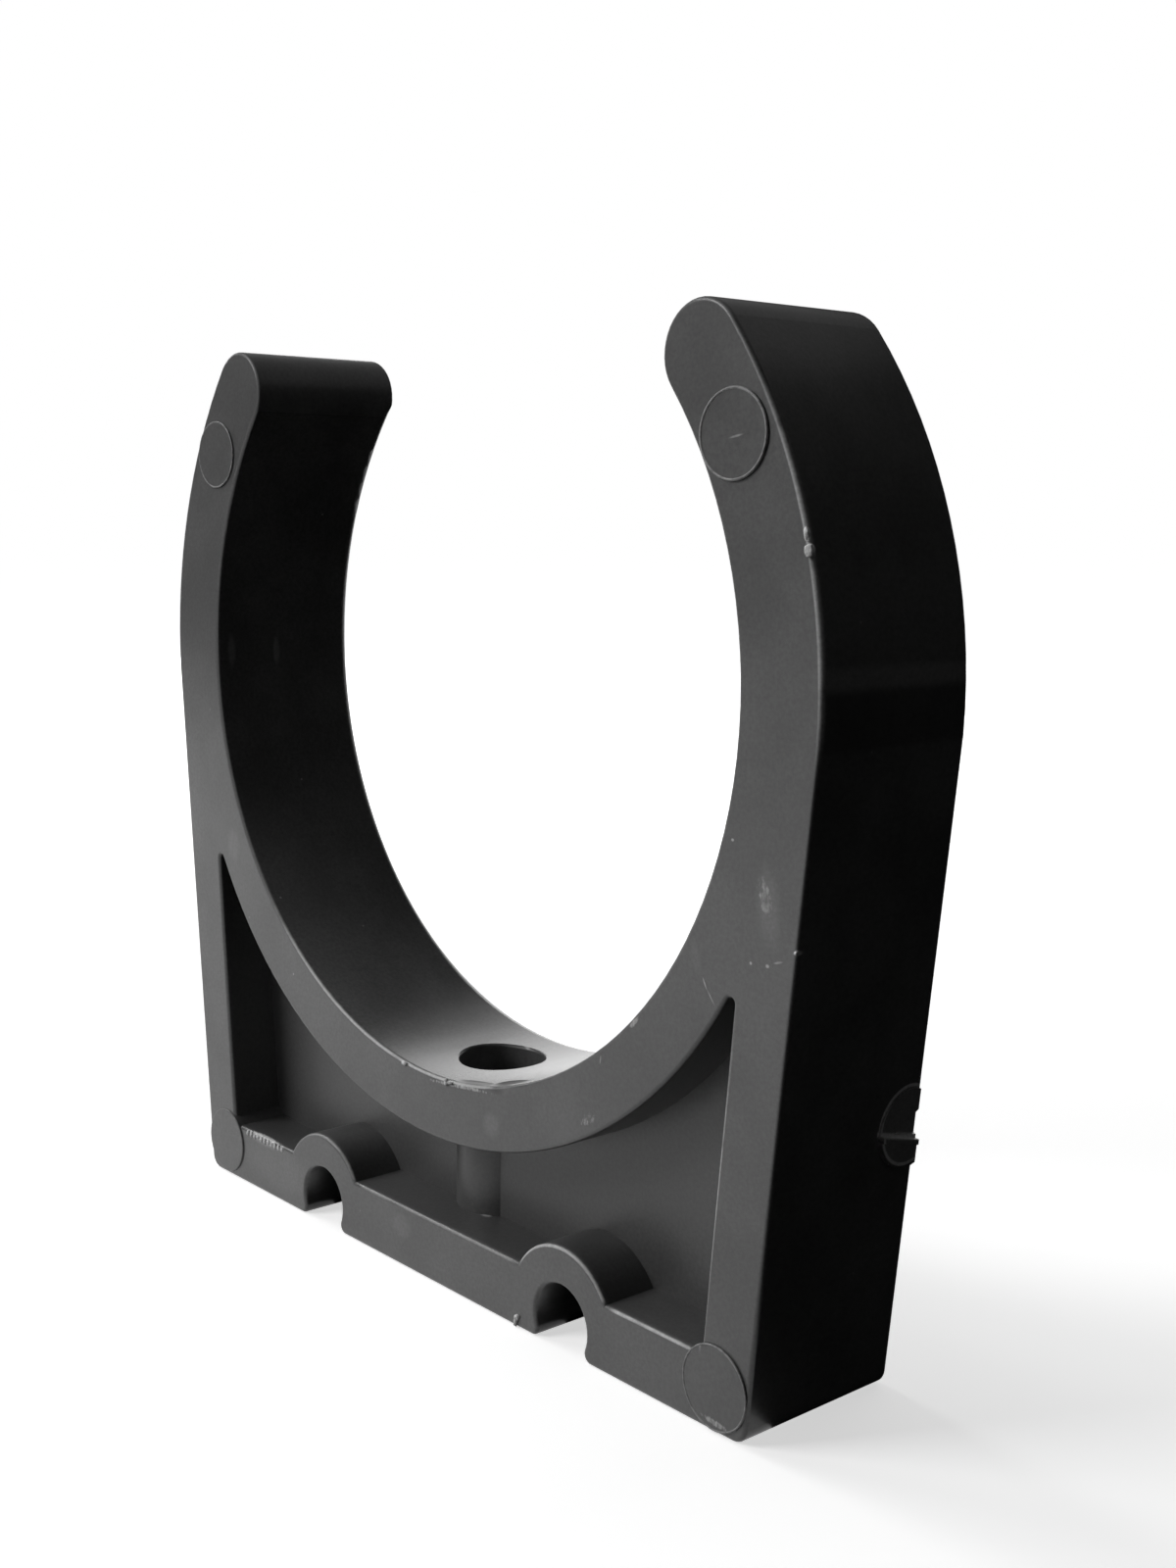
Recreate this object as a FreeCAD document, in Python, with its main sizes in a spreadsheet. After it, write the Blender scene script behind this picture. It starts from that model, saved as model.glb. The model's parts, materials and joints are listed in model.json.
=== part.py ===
import FreeCAD, Part
import math
import os
import Sketcher

# A snap-in clip that holds one pipe above a wall or a rail. It is a single moulding: a collar open
# at the top, on a base with two side walls, a flange, a web at mid-depth and two small tunnels.
# Millimetres. The origin is where the screw's axis meets the base plane: x runs across the clip,
# y along the pipe and z up. The front face is the one towards -y.
SIZES = (
    ("pipe_dia", 63.0, "outside diameter of the pipe that is held"),
    ("pipe_clearance", 0.1, "what the bore is larger than the pipe"),
    ("bore_height", 48.0, "base plane to the pipe's axis"),
    ("depth", 13.9, "length of the clip along the pipe"),
    ("arm_thickness", 6.8, "the arms above the side walls, round at their ends"),
    ("mouth_width", 48.7, "clear gap between the round ends of the arms"),
    ("collar_wall", 4.9, "the collar's floor, between the bore and the recesses"),
    ("base_width", 66.4, "width of the base plane"),
    ("base_corner", 1.2, "round of the base's two outer corners"),
    ("shoulder_height", 45.3, "where the straight side walls meet the arms"),
    ("wall_foot", 4.5, "side wall just above the flange, measured across"),
    ("wall_top", 5.0, "side wall at the shoulder, measured across"),
    ("flange", 4.9, "thickness of the base flange"),
    ("web", 4.7, "thickness of the web at mid-depth"),
    ("recess_round", 0.35, "round of the recess's two pointed ends"),
    ("tunnel_dia", 5.5, "bore of the two tunnels under the flange"),
    ("tunnel_mouth", 3.8, "gap of a tunnel in the base plane"),
    ("tunnel_spacing", 30.4, "between the axes of the two tunnels"),
    ("tunnel_lip", 0.7, "round of the tunnels' lips"),
    ("arch_wall", 2.8, "wall over a tunnel, proud of the flange"),
    ("head_dia", 6.8, "recess for the screw's head, below the pipe"),
    ("head_depth", 2.4, "straight part of that recess"),
    ("shank_dia", 4.2, "clearance hole for the screw's shank"),
    ("head_round", 0.2, "round of that recess's rim, in the bore's floor"),
    ("screw_boss_dia", 7.2, "boss around the shank hole, half sunk in the web"),
    ("edge_round", 0.3, "round of the edges of the front and back faces"),
    ("seat_round", 0.95, "larger round of the bore's edge at the back face"),
    ("pin_dia", 5.6, "print of an ejector pin on the front face"),
    ("pin_rise", 0.14, "how far a print stands proud"),
    ("pin_round", 0.1, "round of a print's rim"),
    ("pin_foot_x", 30.6, "prints at the base: across from the axis"),
    ("pin_foot_z", 3.05, "prints at the base: above the base plane"),
    ("pin_arm_left", 31.25, "print on the left arm: across from the axis"),
    ("pin_arm_right", 30.8, "print on the right arm: across from the axis"),
    ("pin_arm_z", 16.1, "prints on the arms: above the pipe's axis"),
    ("gate_dia", 5.5, "round pad that the moulding gate left on the right wall"),
    ("gate_height", 19.2, "base plane to the middle of that pad"),
    ("gate_setback", 1.2, "from the back face to the middle of that pad"),
    ("gate_inset", 0.2, "from the back face to the pad's cut-off side, on the edge's round"),
    ("gate_rise", 0.32, "how far the lower half of the pad stands proud"),
    ("gate_rim_rise", 0.12, "how far its upper half stands proud"),
    ("scar_rise", 0.45, "how far the cut-off ridge across the pad stands proud"),
    ("scar_width", 0.4, "width of that ridge"),
    ("scar_drop", 0.9, "how far the ridge falls towards the back face"),
    ("tear_height", 1.0, "torn spot above the ridge, at the back face: above the pad's middle"),
    ("tear_depth", 0.2, "depth of that torn spot"),
)

# Sizes worked out from the driving ones, as expressions
BORE_R = "(sizes.pipe_dia + sizes.pipe_clearance) / 2"
ARM_R = f"({BORE_R} + sizes.arm_thickness)"
COLLAR_R = f"({BORE_R} + sizes.collar_wall)"
NOSE_X = "(sizes.mouth_width + sizes.arm_thickness) / 2"
SHOULDER_X = f"sqrt({ARM_R}^2 - (sizes.bore_height - sizes.shoulder_height)^2)"
LEAN = f"(({SHOULDER_X} - sizes.base_width / 2) / sizes.shoulder_height)"
FOOT_X = f"(sizes.base_width / 2 + {LEAN} * sizes.flange - sizes.wall_foot)"
TOP_X = f"({SHOULDER_X} - sizes.wall_top)"
TUNNEL_R = "sizes.tunnel_dia / 2"
TUNNEL_Z = f"sqrt(({TUNNEL_R})^2 - (sizes.tunnel_mouth / 2)^2)"
ARCH_R = f"({TUNNEL_R} + sizes.arch_wall)"
HALF_DEPTH = "sizes.depth / 2"
HALF_WEB = "sizes.web / 2"
FLOOR_Z = f"(sizes.bore_height - {BORE_R})"
GATE_R = "sizes.gate_dia / 2"
GATE_BACK = "(sizes.gate_setback - sizes.gate_inset)"
WALL_X = f"sizes.base_width / 2 + {LEAN} * sizes.gate_height"

NEAR = 1e-4


def make_sheet(doc):
    sheet = doc.addObject("Spreadsheet::Sheet", "sizes")
    for row, (name, value, note) in enumerate(SIZES, start=1):
        sheet.set(f"A{row}", name)
        sheet.set(f"B{row}", str(value))
        sheet.set(f"C{row}", note)
        sheet.setAlias(f"B{row}", name)
    doc.recompute()
    return sheet


def number(obj, formula):
    return float(obj.evalExpression(formula))


def origin_plane(body, role):
    return next(item for item in body.Origin.OriginFeatures if item.Role == role)


def new_sketch(body, name, role, offset=None):
    sketch = body.newObject("Sketcher::SketchObject", name)
    sketch.AttachmentSupport = (origin_plane(body, role), [""])
    sketch.MapMode = "FlatFace"
    if offset:
        sketch.setExpression("AttachmentOffset.Base.z", offset)
    return sketch


def bind(sketch, name, kind, where, formula):
    value = number(sketch, formula)
    index = sketch.addConstraint(Sketcher.Constraint(kind, *where, value))
    sketch.renameConstraint(index, name)
    sketch.setExpression(f"Constraints.{name}", formula)


def tie(sketch, kind, *where):
    sketch.addConstraint(Sketcher.Constraint(kind, *where))


def point(x, z):
    return FreeCAD.Vector(x, z, 0)


def on_circle(centre, radius, angle):
    return centre + point(radius * math.cos(angle), radius * math.sin(angle))


def arc(centre, radius, start, end):
    circle = Part.Circle(centre, FreeCAD.Vector(0, 0, 1), radius)
    return Part.ArcOfCircle(circle, start, end)


def line_meets_circle(low, high, centre, radius):
    # Where the line, going up from outside the circle, first meets it
    run = high - low
    back = low - centre
    a = run.dot(run)
    b = 2 * run.dot(back)
    c = back.dot(back) - radius * radius
    share = (-b - math.sqrt(b * b - 4 * a * c)) / (2 * a)
    return low + run * share


def angle_of(spot, centre):
    return math.atan2(spot.y - centre.y, spot.x - centre.x)


def outline_sketch(body):
    # The clip as seen from the front: base, side walls, arms with round ends, and the bore
    sketch = new_sketch(body, "outline", "XZ_Plane")
    centre = point(0, number(sketch, "sizes.bore_height"))
    bore = number(sketch, BORE_R)
    outer = number(sketch, ARM_R)
    nose = (outer - bore) / 2
    corner = number(sketch, "sizes.base_width / 2")
    shoulder = point(number(sketch, SHOULDER_X), number(sketch, "sizes.shoulder_height"))
    shoulder_angle = angle_of(shoulder, centre)
    end_angle = math.acos(number(sketch, NOSE_X) / (bore + nose))
    other_angle = math.pi - end_angle
    nose_right = on_circle(centre, bore + nose, end_angle)
    nose_left = on_circle(centre, bore + nose, other_angle)
    mirror_shoulder = point(-shoulder.x, shoulder.y)
    lines = sketch.addGeometry([
        Part.LineSegment(point(-corner, 0), point(corner, 0)),
        Part.LineSegment(point(corner, 0), shoulder),
        arc(centre, outer, shoulder_angle, end_angle),
        arc(nose_right, nose, end_angle, end_angle + math.pi),
        arc(centre, bore, other_angle, 2 * math.pi + end_angle),
        arc(nose_left, nose, other_angle + math.pi, 2 * math.pi + other_angle),
        arc(centre, outer, other_angle, math.pi - shoulder_angle),
        Part.LineSegment(mirror_shoulder, point(-corner, 0)),
    ], False)
    base, right_wall, right_arm, right_nose, seat, left_nose, left_arm, left_wall = lines
    tie(sketch, "Coincident", base, 2, right_wall, 1)
    tie(sketch, "Coincident", right_wall, 2, right_arm, 1)
    tie(sketch, "Tangent", right_arm, 2, right_nose, 1)
    tie(sketch, "Tangent", right_nose, 2, seat, 2)
    tie(sketch, "Tangent", seat, 1, left_nose, 1)
    tie(sketch, "Tangent", left_nose, 2, left_arm, 1)
    tie(sketch, "Coincident", left_arm, 2, left_wall, 1)
    tie(sketch, "Coincident", left_wall, 2, base, 1)
    tie(sketch, "Symmetric", base, 1, base, 2, -1, 1)
    tie(sketch, "PointOnObject", base, 1, -1)
    tie(sketch, "PointOnObject", seat, 3, -2)
    tie(sketch, "Coincident", right_arm, 3, seat, 3)
    tie(sketch, "Coincident", left_arm, 3, seat, 3)
    tie(sketch, "Symmetric", right_nose, 3, left_nose, 3, -2)
    tie(sketch, "Horizontal", right_wall, 2, left_wall, 1)
    bind(sketch, "base_width", "DistanceX", (base, 1, base, 2), "sizes.base_width")
    bind(sketch, "bore_height", "DistanceY", (-1, 1, seat, 3), "sizes.bore_height")
    bind(sketch, "bore_radius", "Radius", (seat,), BORE_R)
    bind(sketch, "arm_radius", "Radius", (right_arm,), ARM_R)
    bind(sketch, "shoulder", "DistanceY", (-1, 1, right_wall, 2), "sizes.shoulder_height")
    bind(sketch, "nose", "DistanceX", (-1, 1, right_nose, 3), NOSE_X)
    return sketch


def recess_sketch(body):
    # The recess below the collar, from one pointed end to the other, over the tunnels' arches.
    # It lies on the web's front face.
    sketch = new_sketch(body, "recess_outline", "XZ_Plane", HALF_WEB)
    centre = point(0, number(sketch, "sizes.bore_height"))
    collar = number(sketch, COLLAR_R)
    flange = number(sketch, "sizes.flange")
    foot = point(number(sketch, FOOT_X), flange)
    top = point(number(sketch, TOP_X), number(sketch, "sizes.shoulder_height"))
    apex = line_meets_circle(foot, top, centre, collar)
    apex_angle = angle_of(apex, centre)
    arch = number(sketch, ARCH_R)
    hub = point(number(sketch, "sizes.tunnel_spacing / 2"), number(sketch, TUNNEL_Z))
    spring = math.asin((flange - hub.y) / arch)
    inner = on_circle(hub, arch, math.pi - spring)
    outer = on_circle(hub, arch, spring)

    def flip(spot):
        return point(-spot.x, spot.y)

    lines = sketch.addGeometry([
        Part.LineSegment(apex, foot),
        Part.LineSegment(foot, outer),
        arc(hub, arch, spring, math.pi - spring),
        Part.LineSegment(inner, flip(inner)),
        arc(flip(hub), arch, spring, math.pi - spring),
        Part.LineSegment(flip(outer), flip(foot)),
        Part.LineSegment(flip(foot), flip(apex)),
        arc(centre, collar, math.pi - apex_angle, 2 * math.pi + apex_angle),
    ], False)
    right_wall, right_flat, right_arch, mid_flat, left_arch, left_flat, left_wall, floor = lines
    aim = sketch.addGeometry(Part.Point(top), True)
    tie(sketch, "Coincident", right_wall, 2, right_flat, 1)
    tie(sketch, "Coincident", right_flat, 2, right_arch, 1)
    tie(sketch, "Coincident", right_arch, 2, mid_flat, 1)
    tie(sketch, "Coincident", mid_flat, 2, left_arch, 1)
    tie(sketch, "Coincident", left_arch, 2, left_flat, 1)
    tie(sketch, "Coincident", left_flat, 2, left_wall, 1)
    tie(sketch, "Coincident", left_wall, 2, floor, 1)
    tie(sketch, "Coincident", floor, 2, right_wall, 1)
    tie(sketch, "Horizontal", right_flat)
    tie(sketch, "Horizontal", left_flat)
    tie(sketch, "PointOnObject", aim, 1, right_wall)
    tie(sketch, "Symmetric", right_wall, 1, left_wall, 2, -2)
    tie(sketch, "Symmetric", right_wall, 2, left_wall, 1, -2)
    tie(sketch, "Symmetric", right_arch, 3, left_arch, 3, -2)
    tie(sketch, "Symmetric", mid_flat, 1, mid_flat, 2, -2)
    bind(sketch, "collar_height", "DistanceY", (-1, 1, floor, 3), "sizes.bore_height")
    bind(sketch, "collar_radius", "Radius", (floor,), COLLAR_R)
    bind(sketch, "flange_top", "DistanceY", (-1, 1, right_wall, 2), "sizes.flange")
    bind(sketch, "mid_flange_top", "DistanceY", (-1, 1, mid_flat, 1), "sizes.flange")
    bind(sketch, "foot", "DistanceX", (-1, 1, right_wall, 2), FOOT_X)
    bind(sketch, "aim_across", "DistanceX", (-1, 1, aim, 1), TOP_X)
    bind(sketch, "aim_up", "DistanceY", (-1, 1, aim, 1), "sizes.shoulder_height")
    bind(sketch, "arch_radius", "Radius", (right_arch,), ARCH_R)
    bind(sketch, "arch_across", "DistanceX", (-1, 1, right_arch, 3), "sizes.tunnel_spacing / 2")
    bind(sketch, "arch_up", "DistanceY", (-1, 1, right_arch, 3), TUNNEL_Z)
    return sketch, apex


def circles_sketch(body, name, role, places, radius, offset=None):
    # Equal circles: the first holds the radius, and a place left of the axis is bound by its size
    sketch = new_sketch(body, name, role, offset)
    normal = FreeCAD.Vector(0, 0, 1)
    for index, (side, across, up) in enumerate(places):
        x = number(sketch, across)
        y = number(sketch, up)
        sketch.addGeometry(Part.Circle(point(side * x, y), normal, number(sketch, radius)), False)
        ends = (-1, 1, index, 3) if side > 0 else (index, 3, -1, 1)
        if x < NEAR:
            tie(sketch, "PointOnObject", index, 3, -2)
        else:
            bind(sketch, f"across_{index}", "DistanceX", ends, across)
        if y < NEAR:
            tie(sketch, "PointOnObject", index, 3, -1)
        else:
            bind(sketch, f"up_{index}", "DistanceY", (-1, 1, index, 3), up)
        if index:
            tie(sketch, "Equal", 0, index)
    bind(sketch, "radius", "Radius", (0,), radius)
    return sketch


def pad(body, name, sketch, length, both_ways=False):
    feature = body.newObject("PartDesign::Pad", name)
    feature.Profile = sketch
    feature.setExpression("Length", length)
    if both_ways:
        feature.SideType = "Symmetric"
    return feature


def cut_through(body, name, sketch, both_ways=False, along_normal=False):
    feature = body.newObject("PartDesign::Pocket", name)
    feature.Profile = sketch
    feature.Type = "ThroughAll"
    feature.Reversed = along_normal
    if both_ways:
        feature.SideType = "Symmetric"
    return feature


def turn_out(body, name, sketch, axis):
    feature = body.newObject("PartDesign::Groove", name)
    feature.Profile = sketch
    feature.ReferenceAxis = (sketch, [axis])
    feature.Angle = 360
    return feature


def round_edges(body, name, radius, wanted):
    body.Document.recompute()
    base = body.Tip
    found = [(edge.Length, f"Edge{i}") for i, edge in enumerate(base.Shape.Edges, start=1) if wanted(edge)]
    if not found:
        raise RuntimeError(f"{name}: no edge was found")
    # The shortest edge goes first, because a fillet that starts at a long one can fail at a corner
    names = [edge_name for length, edge_name in sorted(found)]
    feature = body.newObject("PartDesign::Fillet", name)
    feature.Base = (base, names)
    feature.setExpression("Radius", radius)
    return feature


def runs_along_pipe(edge):
    a = edge.firstVertex().Point
    b = edge.lastVertex().Point
    return abs(a.x - b.x) < NEAR and abs(a.z - b.z) < NEAR and abs(a.y - b.y) > NEAR


def signed_bind(sketch, name, kind, edge, end, formula):
    # A distance from the sketch's origin, which may lie to either side of it
    value = number(sketch, formula)
    if abs(value) < NEAR:
        tie(sketch, "PointOnObject", edge, end, -2 if kind == "DistanceX" else -1)
    elif value > 0:
        bind(sketch, name, kind, (-1, 1, edge, end), formula)
    else:
        bind(sketch, name, kind, (edge, end, -1, 1), f"-({formula})")


def polygon(sketch, corners):
    spots = [point(number(sketch, x), number(sketch, y)) for x, y in corners]
    count = len(spots)
    for i in range(count):
        sketch.addGeometry(Part.LineSegment(spots[i], spots[(i + 1) % count]), False)
    for i in range(count):
        tie(sketch, "Coincident", i, 2, (i + 1) % count, 1)
    for i, (x, y) in enumerate(corners):
        signed_bind(sketch, f"x_{i}", "DistanceX", i, 1, x)
        signed_bind(sketch, f"y_{i}", "DistanceY", i, 1, y)


def screw_sketch(body):
    # Half the section of the screw hole: a straight recess, a countersink and the shank hole
    sketch = new_sketch(body, "screw_section", "XZ_Plane")
    shank = "sizes.shank_dia / 2"
    head = "sizes.head_dia / 2"
    seat = f"({FLOOR_Z} - sizes.head_depth)"
    polygon(sketch, (
        ("0", "0"),
        (shank, "0"),
        (shank, f"{seat} - ({head} - {shank})"),
        (head, seat),
        (head, "sizes.bore_height"),
        ("0", "sizes.bore_height"),
    ))
    return sketch


def seat_round_sketch(body):
    # Section of what the larger round takes off the bore's edge at the back face. Its x lies on the
    # pipe's axis and runs to the back, and it is turned about that. It reaches past both faces.
    sketch = new_sketch(body, "seat_round_section", "YZ_Plane")
    sketch.setExpression("AttachmentOffset.Base.y", "sizes.bore_height")
    back = number(sketch, HALF_DEPTH)
    bore = number(sketch, BORE_R)
    radius = number(sketch, "sizes.seat_round")
    on_seat = point(back - radius, bore)
    on_face = point(back, bore + radius)
    outer = point(back + radius, bore + radius)
    below = point(back + radius, bore - radius)
    inner = point(back - radius, bore - radius)
    curve, top, far_side, bottom, near_side = sketch.addGeometry([
        arc(point(on_seat.x, on_face.y), radius, -math.pi / 2, 0),
        Part.LineSegment(on_face, outer),
        Part.LineSegment(outer, below),
        Part.LineSegment(below, inner),
        Part.LineSegment(inner, on_seat),
    ], False)
    tie(sketch, "Coincident", curve, 2, top, 1)
    tie(sketch, "Coincident", top, 2, far_side, 1)
    tie(sketch, "Coincident", far_side, 2, bottom, 1)
    tie(sketch, "Coincident", bottom, 2, near_side, 1)
    tie(sketch, "Coincident", near_side, 2, curve, 1)
    tie(sketch, "Horizontal", top)
    tie(sketch, "Vertical", far_side)
    tie(sketch, "Horizontal", bottom)
    tie(sketch, "Vertical", near_side)
    tie(sketch, "Horizontal", curve, 3, curve, 2)
    tie(sketch, "Vertical", curve, 3, curve, 1)
    bind(sketch, "radius", "Radius", (curve,), "sizes.seat_round")
    bind(sketch, "face", "DistanceX", (-1, 1, curve, 2), HALF_DEPTH)
    bind(sketch, "seat", "DistanceY", (-1, 1, curve, 1), BORE_R)
    bind(sketch, "past_face", "DistanceX", (-1, 1, far_side, 1), f"{HALF_DEPTH} + sizes.seat_round")
    bind(sketch, "past_seat", "DistanceY", (-1, 1, near_side, 1), f"{BORE_R} - sizes.seat_round")
    return sketch


def gate_sketch(body, name):
    # Lies on the leaning right wall, sunk halfway into it. Its origin is the middle of the gate's
    # pad, its x runs to the back and its y up the wall.
    sketch = body.newObject("Sketcher::SketchObject", name)
    sketch.AttachmentSupport = (origin_plane(body, "YZ_Plane"), [""])
    sketch.MapMode = "FlatFace"
    tilt = FreeCAD.Rotation(FreeCAD.Vector(1, 0, 0), number(sketch, f"atan({LEAN})"))
    sketch.AttachmentOffset = FreeCAD.Placement(FreeCAD.Vector(), tilt)
    sketch.setExpression("AttachmentOffset.Rotation.Angle", f"atan({LEAN})")
    sketch.setExpression("AttachmentOffset.Base.x", f"{HALF_DEPTH} - sizes.gate_setback")
    sketch.setExpression("AttachmentOffset.Base.y", "sizes.gate_height")
    sketch.setExpression("AttachmentOffset.Base.z", f"{WALL_X} - sizes.wall_foot / 2")
    return sketch


def gate_pad_sketch(body):
    # The round pad, cut off just before the back face
    sketch = gate_sketch(body, "gate_outline")
    radius = number(sketch, GATE_R)
    cut = math.acos(number(sketch, GATE_BACK) / radius)
    centre = point(0, 0)
    round_side, back = sketch.addGeometry([
        arc(centre, radius, cut, 2 * math.pi - cut),
        Part.LineSegment(on_circle(centre, radius, -cut), on_circle(centre, radius, cut)),
    ], False)
    tie(sketch, "Coincident", round_side, 3, -1, 1)
    tie(sketch, "Coincident", round_side, 2, back, 1)
    tie(sketch, "Coincident", back, 2, round_side, 1)
    tie(sketch, "Vertical", back)
    bind(sketch, "radius", "Radius", (round_side,), GATE_R)
    bind(sketch, "setback", "DistanceX", (-1, 1, back, 1), GATE_BACK)
    return sketch


def gate_lower_sketch(body):
    # The part of the pad that lies below the ridge
    sketch = gate_sketch(body, "gate_lower_outline")
    radius = number(sketch, GATE_R)
    cut = math.acos(number(sketch, GATE_BACK) / radius)
    centre = point(0, 0)
    low = on_circle(centre, radius, -cut)
    left = point(-radius, 0)
    right = point(low.x, -number(sketch, "sizes.scar_drop"))
    round_side, back, ridge = sketch.addGeometry([
        arc(centre, radius, math.pi, 2 * math.pi - cut),
        Part.LineSegment(low, right),
        Part.LineSegment(right, left),
    ], False)
    tie(sketch, "Coincident", round_side, 3, -1, 1)
    tie(sketch, "Coincident", round_side, 2, back, 1)
    tie(sketch, "Coincident", back, 2, ridge, 1)
    tie(sketch, "Coincident", ridge, 2, round_side, 1)
    tie(sketch, "PointOnObject", ridge, 2, -1)
    tie(sketch, "Vertical", back)
    bind(sketch, "radius", "Radius", (round_side,), GATE_R)
    bind(sketch, "setback", "DistanceX", (-1, 1, back, 1), GATE_BACK)
    bind(sketch, "drop", "DistanceY", (ridge, 1, -1, 1), "sizes.scar_drop")
    return sketch


def add_gate(body):
    sunk = "sizes.wall_foot / 2"
    pad(body, "gate_rim", gate_pad_sketch(body), f"{sunk} + sizes.gate_rim_rise")
    pad(body, "gate_lower", gate_lower_sketch(body), f"{sunk} + sizes.gate_rise")
    ridge = gate_sketch(body, "scar_outline")
    polygon(ridge, (
        (f"-({GATE_R})", "0"),
        (f"-({GATE_R})", "-sizes.scar_width"),
        (GATE_BACK, "-sizes.scar_drop - sizes.scar_width"),
        (GATE_BACK, "-sizes.scar_drop"),
    ))
    pad(body, "scar", ridge, f"{sunk} + sizes.scar_rise")
    tear = gate_sketch(body, "tear_outline")
    tear.setExpression("AttachmentOffset.Base.z", f"{WALL_X} - sizes.tear_depth")
    polygon(tear, (
        (f"-({GATE_R}) / 2", "-sizes.scar_drop / 2"),
        ("sizes.gate_setback", "-sizes.scar_drop"),
        ("sizes.gate_setback", "sizes.tear_height"),
    ))
    cut_through(body, "tear", tear, along_normal=True)


def build():
    doc = FreeCAD.newDocument("pipe_clip")
    make_sheet(doc)
    body = doc.addObject("PartDesign::Body", "pipe_clip")
    body.Label = "pipe_clip"

    pad(body, "plate", outline_sketch(body), "sizes.depth", both_ways=True)

    corner = number(body, "sizes.base_width / 2")

    def is_base_corner(edge):
        return runs_along_pipe(edge) and abs(abs(edge.firstVertex().Point.x) - corner) < NEAR

    round_edges(body, "base_corners", "sizes.base_corner", is_base_corner)

    half_spacing = "sizes.tunnel_spacing / 2"
    tunnel_places = ((1, half_spacing, TUNNEL_Z), (-1, half_spacing, TUNNEL_Z))
    tunnels = circles_sketch(body, "tunnel_bores", "XZ_Plane", tunnel_places, TUNNEL_R)
    cut_through(body, "tunnels", tunnels, both_ways=True)

    middle = number(body, half_spacing)
    half_mouth = number(body, "sizes.tunnel_mouth / 2")

    def is_lip(edge):
        spot = edge.firstVertex().Point
        at_mouth = abs(abs(abs(spot.x) - middle) - half_mouth) < NEAR
        return runs_along_pipe(edge) and abs(spot.z) < NEAR and at_mouth

    round_edges(body, "tunnel_lips", "sizes.tunnel_lip", is_lip)

    recess, apex = recess_sketch(body)
    front_recess = cut_through(body, "front_recess", recess, along_normal=True)
    doc.recompute()
    back_recess = body.newObject("PartDesign::Mirrored", "back_recess")
    back_recess.Originals = [front_recess]
    back_recess.MirrorPlane = (origin_plane(body, "XZ_Plane"), [""])
    body.Tip = back_recess

    def is_recess_end(edge):
        spot = edge.firstVertex().Point
        return runs_along_pipe(edge) and abs(abs(spot.x) - apex.x) < NEAR and abs(spot.z - apex.y) < NEAR

    round_edges(body, "recess_ends", "sizes.recess_round", is_recess_end)

    half_depth = number(body, HALF_DEPTH)
    rise = number(body, "sizes.pin_rise")

    def lies_at(edge, y):
        middle_spot = edge.valueAt((edge.FirstParameter + edge.LastParameter) / 2)
        spots = (edge.firstVertex().Point, edge.lastVertex().Point, middle_spot)
        return all(abs(spot.y - y) < NEAR for spot in spots)

    def is_face_edge(edge):
        return lies_at(edge, half_depth) or lies_at(edge, -half_depth)

    round_edges(body, "face_edges", "sizes.edge_round", is_face_edge)

    turn_out(body, "seat_back_round", seat_round_sketch(body), "H_Axis")

    boss = circles_sketch(body, "boss_outline", "XY_Plane", ((1, "0", "0"),), "sizes.screw_boss_dia / 2")
    pad(body, "screw_boss", boss, f"{FLOOR_Z} - sizes.collar_wall / 2")

    arm_height = "sizes.bore_height + sizes.pin_arm_z"
    print_places = (
        (1, "sizes.pin_foot_x", "sizes.pin_foot_z"),
        (-1, "sizes.pin_foot_x", "sizes.pin_foot_z"),
        (1, "sizes.pin_arm_right", arm_height),
        (-1, "sizes.pin_arm_left", arm_height),
    )
    prints = circles_sketch(body, "pin_outlines", "XZ_Plane", print_places, "sizes.pin_dia / 2", HALF_WEB)
    pad(body, "pin_prints", prints, f"{HALF_DEPTH} - {HALF_WEB} + sizes.pin_rise")

    def is_print_rim(edge):
        return lies_at(edge, -half_depth - rise)

    round_edges(body, "print_rims", "sizes.pin_round", is_print_rim)

    add_gate(body)

    turn_out(body, "screw_hole", screw_sketch(body), "V_Axis")

    head_r = number(body, "sizes.head_dia / 2")
    head_seat = number(body, f"{FLOOR_Z} - sizes.head_depth")

    def is_recess_rim(edge):
        middle_spot = edge.valueAt((edge.FirstParameter + edge.LastParameter) / 2)
        spots = (edge.firstVertex().Point, edge.lastVertex().Point, middle_spot)
        above = all(spot.z > head_seat + NEAR for spot in spots)
        return above and all(abs(math.hypot(spot.x, spot.y) - head_r) < NEAR for spot in spots)

    body.Tip = round_edges(body, "head_rim", "sizes.head_round", is_recess_rim)
    doc.recompute()
    return doc, body


def check(doc, body):
    for obj in doc.Objects:
        if "Invalid" in obj.State or "Error" in obj.State:
            raise RuntimeError(f"{obj.Name} failed: {obj.State}")
        if obj.isDerivedFrom("Sketcher::SketchObject") and not obj.FullyConstrained:
            raise RuntimeError(f"{obj.Name} is not fully constrained")
    shape = body.Shape
    if shape.isNull() or not shape.isValid() or len(shape.Solids) != 1:
        raise RuntimeError(f"{body.Label} is not one valid solid")
    print(f"{body.Label}: {shape.Volume:.1f} cubic mm, {len(shape.Faces)} faces")


doc, body = build()
check(doc, body)
os.makedirs("parts", exist_ok=True)
body.Shape.exportStep(f"parts/{body.Label}.step")
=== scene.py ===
import json
import math

import bmesh
import bpy
from mathutils import Matrix, Vector, noise


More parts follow.
